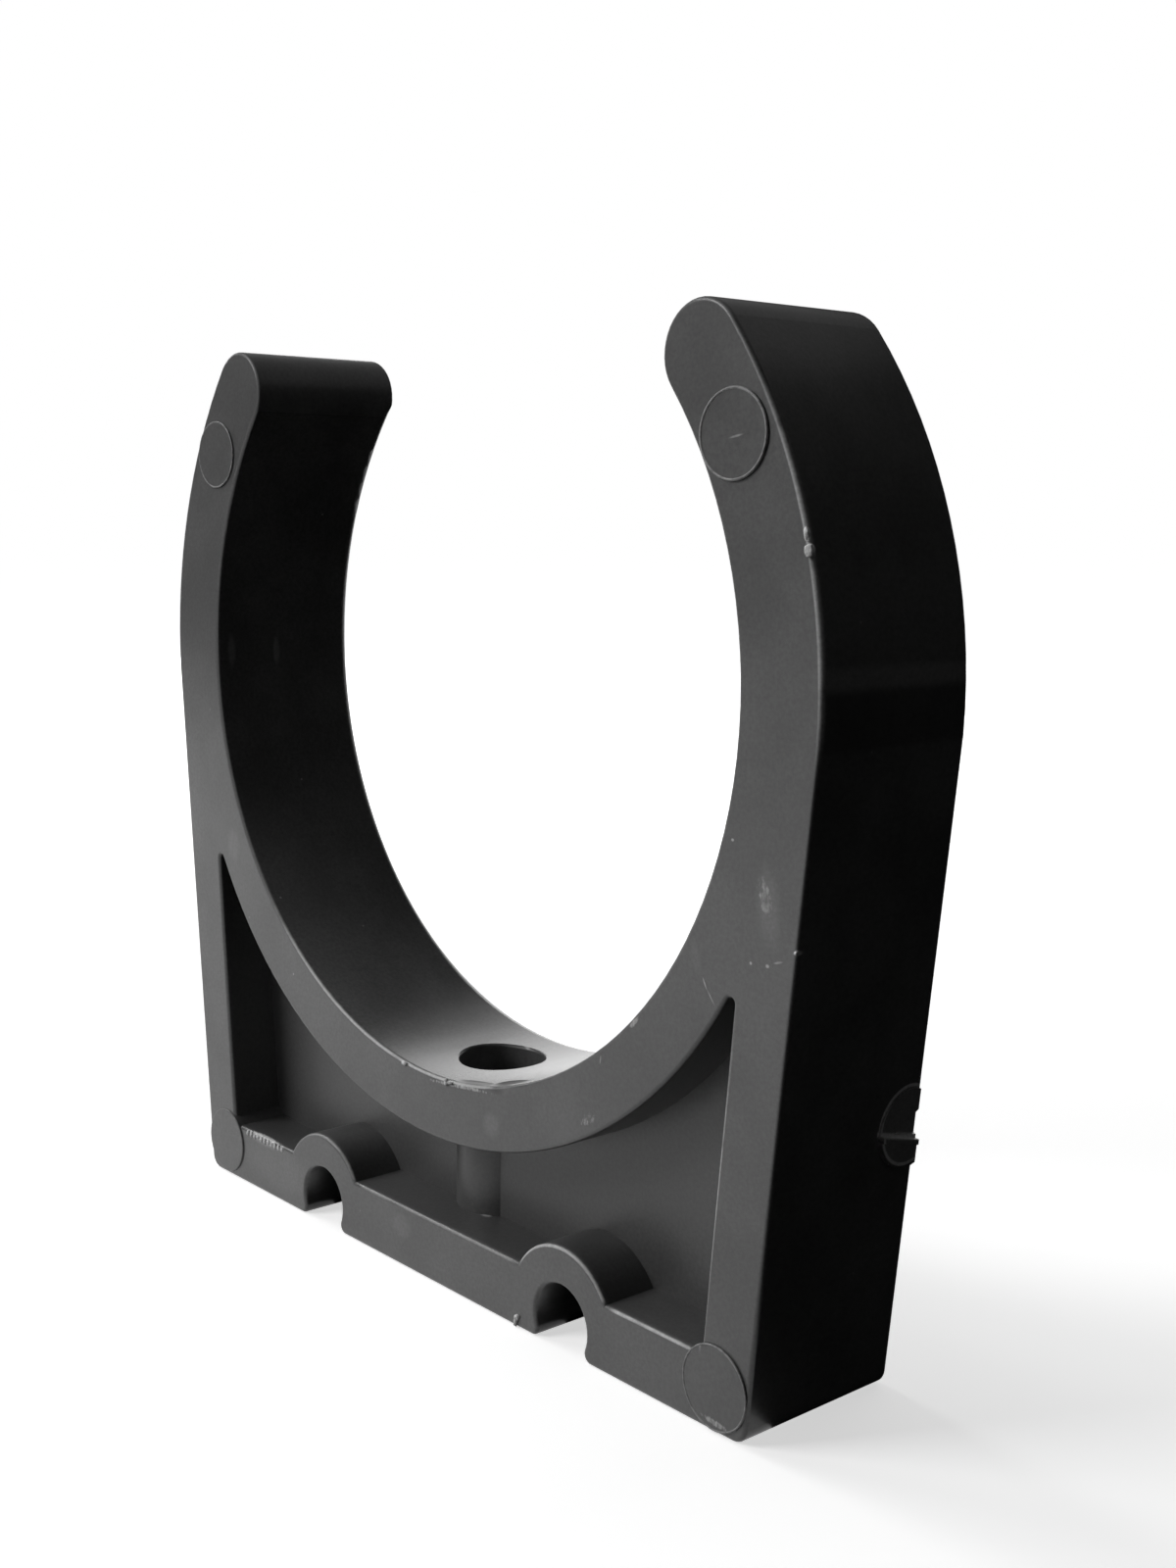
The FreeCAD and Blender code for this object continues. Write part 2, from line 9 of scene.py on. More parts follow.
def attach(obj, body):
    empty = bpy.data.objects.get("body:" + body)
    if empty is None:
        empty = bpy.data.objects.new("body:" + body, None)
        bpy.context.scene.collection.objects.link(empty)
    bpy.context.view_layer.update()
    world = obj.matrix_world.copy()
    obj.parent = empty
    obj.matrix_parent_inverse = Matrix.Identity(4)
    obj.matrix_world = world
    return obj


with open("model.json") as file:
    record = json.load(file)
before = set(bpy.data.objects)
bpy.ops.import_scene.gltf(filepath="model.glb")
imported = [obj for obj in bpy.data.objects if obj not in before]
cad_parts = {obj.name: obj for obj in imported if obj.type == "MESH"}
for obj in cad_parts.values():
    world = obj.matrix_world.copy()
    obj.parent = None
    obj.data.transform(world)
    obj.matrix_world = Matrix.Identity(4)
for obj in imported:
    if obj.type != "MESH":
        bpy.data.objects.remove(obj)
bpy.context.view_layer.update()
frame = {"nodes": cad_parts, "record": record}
clip = frame["nodes"]["pipe_clip"]
print("frame loaded")

mm = 0.001


def colour(hexCode):
    # sRGB hex to the linear values that the shaders use
    parts = [int(hexCode[i:i + 2], 16) / 255 for i in (1, 3, 5)]
    linear = [p / 12.92 if p <= 0.04045 else ((p + 0.055) / 1.055) ** 2.4 for p in parts]
    return (*linear, 1.0)


def addNode(tree, kind, settings=None, links=None):
    # settings: attributes and input sockets by name or number; links: input socket -> output socket
    node = tree.nodes.new(kind)
    for key, value in (settings or {}).items():
        if isinstance(key, int) or key in node.inputs:
            node.inputs[key].default_value = value
        else:
            setattr(node, key, value)
    for key, source in (links or {}).items():
        tree.links.new(source, node.inputs[key])
    return node


def startMaterial(name):
    material = bpy.data.materials.new(name)
    material.use_nodes = True
    material.node_tree.nodes.clear()
    return material, material.node_tree


def addObject(name, data):
    thing = bpy.data.objects.new(name, data)
    bpy.context.scene.collection.objects.link(thing)
    return thing


# Camera: at the photo's place, worked out from the clip's own edges in it
cameraSet = {
    "place": Vector((110.92, -89.75, 59.08)) * mm,
    "yaw": 0.87784,        # radians, to the left of +y
    "pitch": -0.10289,     # below the horizon
    "roll": 0.00654,
    "focalPixels": 1892.3,
    "axisPixel": (538.5, 720.7),  # where the lens looks: a little left of and above the middle
    "imagePixels": (1200, 1600),
    "sensor": 36.0,
    "clipNear": 0.005,     # metres
    "clipFar": 20,
}


def makeCamera(s):
    yaw, pitch, roll = s["yaw"], s["pitch"], s["roll"]
    ahead = Vector((-math.sin(yaw) * math.cos(pitch), math.cos(yaw) * math.cos(pitch),
                    math.sin(pitch)))
    level = Vector((math.cos(yaw), math.sin(yaw), 0))
    above = level.cross(ahead)
    right = level * math.cos(roll) + above * math.sin(roll)
    up = above * math.cos(roll) - level * math.sin(roll)
    data = bpy.data.cameras.new("photoCamera")
    camera = addObject("photoCamera", data)
    turn = Matrix((right, up, -ahead)).transposed().to_4x4()
    camera.matrix_world = Matrix.Translation(s["place"]) @ turn
    wide, high = s["imagePixels"]
    data.sensor_width = s["sensor"]
    data.lens = s["focalPixels"] * s["sensor"] / high
    data.shift_x = (wide / 2 - s["axisPixel"][0]) / high
    data.shift_y = (s["axisPixel"][1] - high / 2) / high
    data.clip_start = s["clipNear"]
    data.clip_end = s["clipFar"]
    bpy.context.scene.camera = camera


makeCamera(cameraSet)
print("camera placed")


# Moulded rigid PVC, dark grey, straight from a fine-eroded steel tool: satin, so it shows soft
# blurred reflections of what stands near it, with faint cloudy flow marks under them. The
# recesses are painted darker as painted shade and have a matter finish, and the edges carry
# painted highlights as paler lines.
seat = next(m for m in frame["record"]["mounts"] if m["name"] == "pipe_seat")
boreRadius = seat["dims"]["r_mm"]
boreHeight = seat["pos_m"][2] / mm

# Lengths are in mm. A pair says where a mask is gone and where it is whole.
pvcSet = {
    "ior": 1.53,
    "colours": {
        "cloudDark": "#525252",
        "cloudLight": "#636363",
        # painted shade: the recesses are painted darker than the faces
        "recess": "#4b4b4b",
        "rubbed": "#9c9c9c",       # whitened plastic where it was rubbed or struck; also painted sheen on the right arm's band, painted reflection on the base and the gate's paler pad
        "pale": "#cfcfcf",         # bruised or torn plastic, and painted highlights on the edges and on the gate's rim and ridge
        # painted shade, for the tunnels' insides, the dark band and the dents
        "stain": "#2c2c2c",
    },
    "roughness": {
        "face": 0.33,
        "recess": 0.40,
        "bore": 0.27,              # the core that forms the bore is polished
        "worn": 0.50,
        "dent": 0.70,
    },
    "cloud": {"size": 9.0, "detail": 3.0, "roughness": 0.55, "range": (0.3, 0.7)},
    # the tool's grain is finer than the speckle and the grain here, but this is what shows
    "speckle": {"size": 0.30, "detail": 2.0, "roughness": 0.7, "range": (0.3, 0.7),
                "depth": 0.16},    # share of the colour that it takes or gives
    "grain": {
        "size": 0.22,
        "detail": 2.0,
        "height": 0.006,
        "onFaces": 0.5,            # share of the height that is left by the tool's finish
        "inBore": 0.04,
        "tornDepth": -1.0,         # in heights of the grain
        "dentDepth": -52.0,
    },
    "form": {
        "frontFace": -6.95,        # and the back face as far the other way
        "lean": 0.112,             # of the side walls, across for each mm up
        "wallFoot": 33.2,          # outer side of the walls in the base plane
        "wallThickness": 4.5,
        "shoulder": 45.3,
        "flangeTop": 4.9,
        "armOuter": 6.8,           # from the bore to the arms' outer side
        "tunnelOffset": 15.2,      # from the middle to the tunnels' axes
        "tunnelHeight": 1.99,
        "archRadius": 5.55,        # outer radius of the arches over the tunnels
        "nub": 57.5,               # height of the torn flash on the right arm's edge
    },
    "boreSkin": (0.1, 0.03),       # from the bore's surface
    "tunnels": {"inside": (4.6, 4.2), "depth": (0.1, 0.9)},
    "recess": {
        "depth": (-0.15, -0.6),    # from the front and back faces, inward
        "fromBore": (1.5, 2.5),
        "fromWall": (-1.0, -2.0),
        "fromShoulder": (-9, -12),
        "height": (0.1, 0.4),
    },
    # painted highlights along the front edges, as paler lines
    "wear": {
        "width": 0.13,             # half the width of a painted edge highlight
        "depth": (0.45, 0.2),      # from the front face, inward
        "inset": 0.12,             # from a form's edge to the middle of its painted highlight line
        "rimAcross": (11.0, 3.0),
        "rimHeight": (27.0, 21.0),
        "armInset": 0.16,
        "armWidth": 1.7,           # in widths
        "armStart": (-2, 5),       # from the shoulder
        "armEnd": (12, 2),         # from the nub
        "wallStart": 6.0,
        "wallEnd": (30.0, 12.0),
        "archStart": 0.3,          # over the flange
        "archShare": {-1: 0.25, 1: 0.9},   # left and right
        "archClear": 0.2,
        "flangeParts": ((-9.6, 9.8, 0.35), (20.7, 28.2, 1.0)),   # across from, to, and how much
        "flangeSoft": 0.5,
        "patchSize": 2.6,
        "patchDetail": 2.0,
        "patches": (0.15, 0.48),
    },
    "rightArm": (0.0, 10.0),       # across
    # painted sheen and painted shade in bands on the right arm's outer side
    "bands": {
        "fromWall": (-2.5, -1.2),
        "depth": (0.2, 0.5),
        "paleRise": 1.4,           # over the bore's axis
        "paleWidth": 1.0,
        "darkFoot": (-0.6, 0.2),   # from the shoulder
        "darkTop": (1.2, 0.2),     # from the bore's axis
    },
    # the gate's pad painted paler, with painted highlights on its rim and ridge
    "gate": {
        "middle": (0, 5.75, 19.2),   # of the pad on the right wall
        "radius": 2.72,
        "across": (33.0, 34.0),
        "padEdge": (0.1, -0.1),
        "rimInset": 0.04,
        "rimWidth": 0.17,
        "scarHeight": 19.0,        # of the ridge across the pad, at its front end
        "scarFall": 0.24,          # for each mm to the back
        "scarWidth": 0.26,
        "reach": (0.25, 0.1),      # from the pad's edge
    },
    "torn": {
        "dabSize": 0.24,
        "dabDraw": 0.40,           # under 1, the dabs are drawn out upward
        "detail": 3.0,
        "roughness": 0.6,
        "fill": 0.30,              # how far a strong mark fills the space between its dabs
        "filled": (0.60, 0.92),
        "edge": (0.0, 0.2),
    },
    "dust": {"spacing": 3.2, "speck": (0.045, 0.02), "chance": (0.60, 0.85)},
    # What lies over the plain skin, from the lowest up: mask, colour and share
    "layers": (
        # painted shade in the tunnels' insides
        ("tunnels", "stain", 0.8),
        # painted shade in the dark band and painted sheen in the pale band
        ("darkBand", "stain", 0.45),
        ("paleBand", "rubbed", 0.28),
        # the gate's pad painted paler, and painted highlights on its rim and ridge
        ("gatePad", "rubbed", 0.45),
        ("gateEdges", "pale", 1.0),
        # rubbed marks, and painted reflection on the base's front
        ("rubbed", "rubbed", 0.6),
        ("dust", "pale", 0.5),
        # painted shade in the dents
        ("dent", "stain", 1.0),
        # pale marks and torn plastic, and the painted edge highlights
        ("pale", "pale", 0.9),
    ),
    "lineCore": 0.3,               # share of a soft line's half width that shows whole
    "spotCore": 0.35,              # share of a soft spot's reach that shows whole
}

# Marks that the photo shows: place and reach in mm, turn about y in degrees, and strength. Where
# a mark has a strength under 1, that much of it shows.
markSet = {
    "rubbed": {
        "blemishHalo": ((34.4, -6.95, 35.2), (1.3, 0.6, 3.2), -6, 0.45),
        "blotchLeft": ((-29.1, -6.95, 30.1), (1.3, 0.6, 1.9), 0, 0.35),
        "hazeByScratch": ((28.2, -6.95, 31.0), (0.6, 0.6, 1.5), -14, 0.22),
        # painted reflection: the base's front is painted paler on the left and in the middle
        "hazeBaseLeft": ((-22.0, -6.95, 2.8), (7.5, 0.6, 2.6), 0, 0.30),
        "hazeBaseMiddle": ((-4.0, -6.95, 3.2), (1.6, 0.6, 1.3), 0, 0.35),
        "scuffFlangeUnder": ((-24.2, -6.95, 4.60), (3.9, 0.7, 0.65), 1, 1.0),
        "smearCollar": ((7.3, -6.95, 14.4), (1.3, 0.6, 1.2), -30, 0.45),
        "boreBlotchFront": ((-31.5, -5.5, 47.0), (0.6, 0.5, 1.9), 0, 0.55),
        "boreBlotchMiddle": ((-31.5, -0.9, 46.8), (0.6, 0.45, 1.6), 0, 0.75),
    },
    "broken": {
        "blemish": ((34.1, -6.95, 35.85), (0.75, 0.6, 1.75), -16, 0.74),
        "scuffFlange": ((-24.2, -6.95, 4.72), (3.7, 0.7, 0.50), 1, 1.9),
        "scuffPrint": ((30.9, -7.05, 0.75), (1.8, 0.7, 0.30), 4, 1.1),
        "rubbedRim": ((3.4, -6.95, 16.35), (5.2, 0.7, 0.22), -6, 1.0),
        "scratchHead": ((22.5, -6.95, 25.4), (0.9, 0.6, 0.25), -45, 1.1),
        "collarNick": ((18.0, -6.95, 17.6), (1.1, 0.6, 0.5), -30, 0.7),
    },
    "pale": {
        "speckArm": ((31.28, -6.95, 39.0), (0.17, 0.5, 0.13), 0, 0.9),
        "scratchUpper": ((29.05, -6.95, 29.4), (0.07, 0.5, 0.55), -27, 1.0),
        "scratchLower": ((29.62, -6.95, 28.6), (0.06, 0.5, 0.75), -37, 0.7),
        "chipLeft": ((33.02, -6.95, 31.49), (0.14, 0.5, 0.14), 0, 1.0),
        "chipMiddle": ((34.42, -6.95, 31.57), (0.20, 0.5, 0.17), 0, 1.0),
        "chipLong": ((35.30, -6.95, 31.95), (0.50, 0.5, 0.10), -16, 0.6),
        "chipEdge": ((36.79, -6.95, 32.82), (0.26, 0.6, 0.24), 0, 1.0),
        "tickUnderRim": ((19.2, -6.95, 22.1), (0.08, 0.5, 0.40), 8, 0.6),
        "lineOnRim": ((22.61, -6.95, 25.62), (0.60, 0.5, 0.08), -45, 0.8),
        "printScratch": ((31.1, -7.09, 63.95), (0.75, 0.5, 0.10), -10, 0.5),
        "bossFootLine": ((1.7, -2.95, 4.9), (0.75, 0.5, 0.10), 0, 0.6),
        "holeNick": ((-1.08, 3.37, 16.5), (0.55, 0.14, 0.3), 0, 0.9),
    },
    # real dents in the bore near its rim, shaped by the bump, and painted dark there as painted
    # shade
    "dent": {
        "rimDent": ((8.2, -5.75, 17.52), (2.0, 1.6, 1.1), -15, 1.0),
        "rimDentTail": ((5.0, -6.45, 16.85), (2.7, 0.8, 0.6), -9, 0.45),
    },
}


def around(middle, offsets):
    return [middle + offset for offset in offsets]


def fade(tree, source, gone, whole):
    # 0 where the source is at gone, 1 where it is at whole, and smooth between them
    return addNode(tree, "ShaderNodeMapRange",
                   {"interpolation_type": "SMOOTHSTEP", "From Min": gone, "From Max": whole},
                   {"Value": source}).outputs["Result"]


def join(tree, operation, sources):
    # The first source with each of the others in turn, which may be masks or plain numbers
    result = sources[0]
    for source in sources[1:]:
        plain = isinstance(source, (int, float))
        result = addNode(tree, "ShaderNodeMath",
                         {"operation": operation, **({1: source} if plain else {})},
                         {0: result, **({} if plain else {1: source})}).outputs[0]
    return result


def nearLine(tree, source, middle, width):
    # 1 where the source has the value of middle, 0 where it is more than width away
    away = join(tree, "SUBTRACT", [source, middle])
    size = addNode(tree, "ShaderNodeMath", {"operation": "ABSOLUTE"}, {0: away})
    return fade(tree, size.outputs[0], width, width * pvcSet["lineCore"])


def distanceFrom(tree, place, middle, across=(1, 0, 1)):
    # From an axis through middle: along the pipe, unless across says otherwise
    flat = addNode(tree, "ShaderNodeVectorMath", {"operation": "MULTIPLY", 1: across}, {0: place})
    gap = addNode(tree, "ShaderNodeVectorMath", {"operation": "DISTANCE", 1: middle},
                  {0: flat.outputs["Vector"]})
    return gap.outputs["Value"]


def measurePlace(tree, form):
    # Where each point is on the clip, in mm: its place and axes, its way across with the walls'
    # lean taken off, and how far it is from the bore's axis and from the tunnels'
    inMetres = addNode(tree, "ShaderNodeTexCoord").outputs["Object"]
    place = addNode(tree, "ShaderNodeVectorMath", {"operation": "SCALE", "Scale": 1 / mm},
                    {0: inMetres}).outputs["Vector"]
    axes = addNode(tree, "ShaderNodeSeparateXYZ", None, {"Vector": place})
    at = {axis: axes.outputs[axis.upper()] for axis in "xyz"}
    across = addNode(tree, "ShaderNodeMath", {"operation": "ABSOLUTE"}, {0: at["x"]}).outputs[0]
    for key, side in (("straight", at["x"]), ("wide", across)):
        at[key] = addNode(tree, "ShaderNodeMath",
                          {"operation": "MULTIPLY_ADD", 1: -form["lean"]},
                          {0: at["z"], 2: side}).outputs[0]
    at["place"] = place
    at["fromBore"] = distanceFrom(tree, place, (0, 0, boreHeight))
    for side in (-1, 1):
        axis = (side * form["tunnelOffset"], 0, form["tunnelHeight"])
        at["fromTunnel", side] = distanceFrom(tree, place, axis)
    return at


def makeMarks(tree, place, marks):
    # The strongest of the marks in the list, each one a soft spot, long where its reach is
    spots = []
    for centre, reach, turn, strength in marks.values():
        local = addNode(tree, "ShaderNodeMapping",
                        {"vector_type": "TEXTURE", "Location": centre, "Scale": reach,
                         "Rotation": (0, math.radians(turn), 0)},
                        {"Vector": place})
        far = addNode(tree, "ShaderNodeVectorMath", {"operation": "LENGTH"},
                      {0: local.outputs["Vector"]})
        spots.append(addNode(tree, "ShaderNodeMapRange",
                             {"interpolation_type": "SMOOTHSTEP", "From Min": 1.0,
                              "From Max": pvcSet["spotCore"], "To Max": strength},
                             {"Value": far.outputs["Value"]}).outputs["Result"])
    return join(tree, "MAXIMUM", spots)


def makePaintedEdgeHighlights(tree, at, s):
    # Painted highlights along edges that catch the light: the bore's rim and the right arm's and
    # wall's edges on the front face, and the front edges of the flange and of the arches over the
    # tunnels
    form, wear = s["form"], s["wear"]
    x, z, width, inset = at["x"], at["z"], wear["width"], wear["inset"]
    rim = [nearLine(tree, at["fromBore"], boreRadius + inset, width),
           fade(tree, x, *wear["rimAcross"]),
           fade(tree, z, *wear["rimHeight"])]
    armLine = boreRadius + form["armOuter"] - wear["armInset"]
    armEdge = [nearLine(tree, at["fromBore"], armLine, wear["armWidth"] * width),
               fade(tree, z, *around(form["shoulder"], wear["armStart"])),
               fade(tree, z, *around(form["nub"], wear["armEnd"])),
               fade(tree, x, *s["rightArm"])]
    wallEdge = [nearLine(tree, at["straight"], form["wallFoot"] - form["wallThickness"], width),
                fade(tree, z, *wear["wallEnd"]),
                fade(tree, z, form["flangeTop"], wear["wallStart"])]
    lines = [join(tree, "MULTIPLY", line) for line in (rim, armEdge, wallEdge)]
    overFlange = fade(tree, z, *around(form["flangeTop"], (0, wear["archStart"])))
    flange = [nearLine(tree, z, form["flangeTop"] - inset, width)]
    for side in (-1, 1):
        fromTunnel = at["fromTunnel", side]
        arch = nearLine(tree, fromTunnel, form["archRadius"] - inset, width)
        lines.append(join(tree, "MULTIPLY", [arch, overFlange, wear["archShare"][side]]))
        flange.append(fade(tree, fromTunnel, *around(form["archRadius"], (-wear["archClear"], 0))))
    flange = join(tree, "MULTIPLY", flange)
    soft = wear["flangeSoft"]
    for start, end, strength in wear["flangeParts"]:
        lines.append(join(tree, "MULTIPLY", [flange, fade(tree, x, *around(start, (-soft, soft))),
                                             fade(tree, x, *around(end, (soft, -soft))), strength]))
    patches = addNode(tree, "ShaderNodeTexNoise",
                      {"Scale": 1 / wear["patchSize"], "Detail": wear["patchDetail"]},
                      {"Vector": at["place"]})
    return join(tree, "MULTIPLY", [join(tree, "MAXIMUM", lines),
                                   fade(tree, at["y"], *around(form["frontFace"], wear["depth"])),
                                   fade(tree, patches.outputs["Fac"], *wear["patches"])])


def makeRecess(tree, at, s):
    # 1 on the web, the flange's top and the other walls of the recesses: painted shade in the
    # colour, and a matter finish
    form, recess = s["form"], s["recess"]
    fromMiddle = addNode(tree, "ShaderNodeMath", {"operation": "ABSOLUTE"}, {0: at["y"]}).outputs[0]
    return join(tree, "MULTIPLY", [
        fade(tree, fromMiddle, *around(-form["frontFace"], recess["depth"])),
        fade(tree, at["fromBore"], *around(boreRadius, recess["fromBore"])),
        fade(tree, at["wide"], *around(form["wallFoot"], recess["fromWall"])),
        fade(tree, at["z"], *around(form["shoulder"], recess["fromShoulder"])),
        fade(tree, at["z"], *recess["height"])])


def makeTunnels(tree, at, s):
    # The tunnels' insides, darkened with painted shade
    depth = around(s["form"]["frontFace"], s["tunnels"]["depth"])
    sides = [join(tree, "MULTIPLY", [fade(tree, at["fromTunnel", side], *s["tunnels"]["inside"]),
                                     fade(tree, at["y"], *depth)]) for side in (-1, 1)]
    return join(tree, "MAXIMUM", sides)


def makeBands(tree, at, s):
    # A paler band of painted sheen over a darker band of painted shade crosses the right arm's
    # outer side at the pipe's height
    form, bands = s["form"], s["bands"]
    outside = join(tree, "MULTIPLY", [
        fade(tree, at["wide"], *around(form["wallFoot"], bands["fromWall"])),
        fade(tree, at["x"], *s["rightArm"]),
        fade(tree, at["y"], *around(form["frontFace"], bands["depth"]))])
    pale = nearLine(tree, at["z"], boreHeight + bands["paleRise"], bands["paleWidth"])
    dark = [fade(tree, at["z"], *around(form["shoulder"], bands["darkFoot"])),
            fade(tree, at["z"], *around(boreHeight, bands["darkTop"]))]
    return {"paleBand": join(tree, "MULTIPLY", [pale, outside]),
            "darkBand": join(tree, "MULTIPLY", [*dark, outside])}


def makeGate(tree, at, gate):
    # The gate's pad is painted a little paler, and its rim and ridge carry painted highlights
    radius = gate["radius"]
    fromGate = distanceFrom(tree, at["place"], gate["middle"], (0, 1, 1))
    onWall = fade(tree, at["x"], *gate["across"])
    pad = fade(tree, fromGate, *around(radius, gate["padEdge"]))
    fallen = addNode(tree, "ShaderNodeMath", {"operation": "MULTIPLY_ADD", 1: gate["scarFall"]},
                     {0: at["y"], 2: at["z"]}).outputs[0]
    scarMiddle = gate["scarHeight"] + gate["scarFall"] * (gate["middle"][1] - radius)
    edges = [nearLine(tree, fromGate, radius - gate["rimInset"], gate["rimWidth"]),
             nearLine(tree, fallen, scarMiddle, gate["scarWidth"])]
    reach = fade(tree, fromGate, *around(radius, gate["reach"]))
    return {"gatePad": join(tree, "MULTIPLY", [pad, onWall]),
            "gateEdges": join(tree, "MULTIPLY", [join(tree, "MAXIMUM", edges), reach, onWall])}


def makeTorn(tree, place, marks, torn):
    # Torn plastic is white all through where a mark is strongest, and breaks up into dabs round it
    spots = makeMarks(tree, place, marks)
    drawn = addNode(tree, "ShaderNodeVectorMath",
                    {"operation": "MULTIPLY", 1: (1, 1, torn["dabDraw"])}, {0: place})
    dabs = addNode(tree, "ShaderNodeTexNoise",
                   {"Scale": 1 / torn["dabSize"], "Detail": torn["detail"],
                    "Roughness": torn["roughness"]}, {"Vector": drawn.outputs["Vector"]})
    filled = addNode(tree, "ShaderNodeMath", {"operation": "MULTIPLY_ADD", 1: torn["fill"]},
                     {0: spots, 2: dabs.outputs["Fac"]}).outputs[0]
    return join(tree, "MULTIPLY", [fade(tree, filled, *torn["filled"]),
                                   fade(tree, spots, *torn["edge"])])


def makeDust(tree, place, dust):
    cells = addNode(tree, "ShaderNodeTexVoronoi", {"Scale": 1 / dust["spacing"]},
                    {"Vector": place})
    chance = addNode(tree, "ShaderNodeSeparateXYZ", None, {"Vector": cells.outputs["Color"]})
    return join(tree, "MULTIPLY", [fade(tree, cells.outputs["Distance"], *dust["speck"]),
                                   fade(tree, chance.outputs["X"], *dust["chance"])])


def makeMasks(tree, at, s, marks):
    place = at["place"]
    broken = makeTorn(tree, place, marks["broken"], s["torn"])
    # the pale layer holds the pale marks, the torn plastic and the painted edge highlights
    pale = [makeMarks(tree, place, marks["pale"]), broken, makePaintedEdgeHighlights(tree, at, s)]
    return {
        "recess": makeRecess(tree, at, s),
        "bore": fade(tree, at["fromBore"], *around(boreRadius, s["boreSkin"])),
        "tunnels": makeTunnels(tree, at, s),
        **makeBands(tree, at, s),
        **makeGate(tree, at, s["gate"]),
        "rubbed": makeMarks(tree, place, marks["rubbed"]),
        "dust": makeDust(tree, place, s["dust"]),
        "dent": makeMarks(tree, place, marks["dent"]),
        "broken": broken,
        "pale": join(tree, "MAXIMUM", pale),
    }


def makeTint(tree, place, masks, s):
    cloud, speckle, colours = s["cloud"], s["speckle"], s["colours"]
    clouds = addNode(tree, "ShaderNodeTexNoise",
                     {"Scale": 1 / cloud["size"], "Detail": cloud["detail"],
                      "Roughness": cloud["roughness"]}, {"Vector": place})
    tint = addNode(tree, "ShaderNodeMix",
                   {"data_type": "RGBA", 6: colour(colours["cloudDark"]),
                    7: colour(colours["cloudLight"])},
                   {0: fade(tree, clouds.outputs["Fac"], *cloud["range"])}).outputs[2]
    # the recesses first, painted darker as painted shade
    for key, paint, share in (("recess", "recess", 1), *s["layers"]):
        tint = addNode(tree, "ShaderNodeMix", {"data_type": "RGBA", 7: colour(colours[paint])},
                       {0: join(tree, "MULTIPLY", [masks[key], share]), 6: tint}).outputs[2]
    speckles = addNode(tree, "ShaderNodeTexNoise",
                       {"Scale": 1 / speckle["size"], "Detail": speckle["detail"],
                        "Roughness": speckle["roughness"]}, {"Vector": place})
    low, high = speckle["range"]
    shade = addNode(tree, "ShaderNodeMapRange",
                    {"From Min": low, "From Max": high, "To Min": 1 - speckle["depth"],
                     "To Max": 1 + speckle["depth"]}, {"Value": speckles.outputs["Fac"]})
    return addNode(tree, "ShaderNodeVectorMath", {"operation": "SCALE"},
                   {0: tint, "Scale": shade.outputs["Result"]}).outputs["Vector"]


def makeGloss(tree, masks, roughness):
    gloss = addNode(tree, "ShaderNodeMix",
                    {"data_type": "FLOAT", 2: roughness["face"], 3: roughness["recess"]},
                    {0: masks["recess"]}).outputs[0]
    for key, part in (("bore", "bore"), ("pale", "worn"), ("dent", "dent")):
        gloss = addNode(tree, "ShaderNodeMix", {"data_type": "FLOAT", 3: roughness[part]},
                        {0: masks[key], 2: gloss}).outputs[0]
    return gloss


def makeGrain(tree, place, masks, grain):
    bumps = addNode(tree, "ShaderNodeTexNoise",
                    {"Scale": 1 / grain["size"], "Detail": grain["detail"]}, {"Vector": place})
    polish = addNode(tree, "ShaderNodeMapRange",
                     {"To Min": grain["onFaces"], "To Max": grain["inBore"]},
                     {"Value": masks["bore"]})
    height = join(tree, "MULTIPLY", [bumps.outputs["Fac"], polish.outputs["Result"]])
    for key, depth in (("broken", grain["tornDepth"]), ("dent", grain["dentDepth"])):
        height = addNode(tree, "ShaderNodeMath", {"operation": "MULTIPLY_ADD", 1: depth},
                         {0: masks[key], 2: height}).outputs[0]
    return addNode(tree, "ShaderNodeBump", {"Distance": grain["height"] * mm, "Strength": 1.0},
                   {"Height": height}).outputs["Normal"]


def makePvc(s, marks):
    material, tree = startMaterial("mouldedGreyPvc")
    at = measurePlace(tree, s["form"])
    masks = makeMasks(tree, at, s, marks)
    shader = addNode(tree, "ShaderNodeBsdfPrincipled", {"IOR": s["ior"]},
                     {"Base Color": makeTint(tree, at["place"], masks, s),
                      "Roughness": makeGloss(tree, masks, s["roughness"]),
                      "Normal": makeGrain(tree, at["place"], masks, s["grain"])})
    addNode(tree, "ShaderNodeOutputMaterial", None, {"Surface": shader.outputs["BSDF"]})
    return material


clip.data.materials.clear()
clip.data.materials.append(makePvc(pvcSet, markSet))
print("material made")


# What stands on the moulding and is too small for the solid: the fine bead of flash that an
# ejector pin left round its print, and torn bits of flash on the front edges. Lengths are in mm.
tornPvcSet = {
    "torn": ("#b4b4b4", "#f0f0f0"),
    # the print rings' beads: paler as pinched plastic, and paler still as a painted highlight
    "pinched": ("#747474", "#929292"),
    "lumpSize": 0.4,       # of the whitened spots in the torn plastic
    "lumpDetail": 2.0,
    "lumpRange": (0.38, 0.55),
    "roughness": 0.45,
}

ringSet = {
    # middle across and up, and thickness of the bead
    "prints": {
        "armRight": (30.8, 64.1, 0.105),
        "armLeft": (-31.25, 64.1, 0.060),
        "footRight": (30.6, 3.05, 0.085),
    },
    "radius": 2.80,
    "front": -7.04,        # on the prints' round rims
    "uneven": 0.20,        # share of the thickness that comes and goes round the ring
    "unevenPace": 1.6,
    "steps": 120,
    "sides": 8,
}

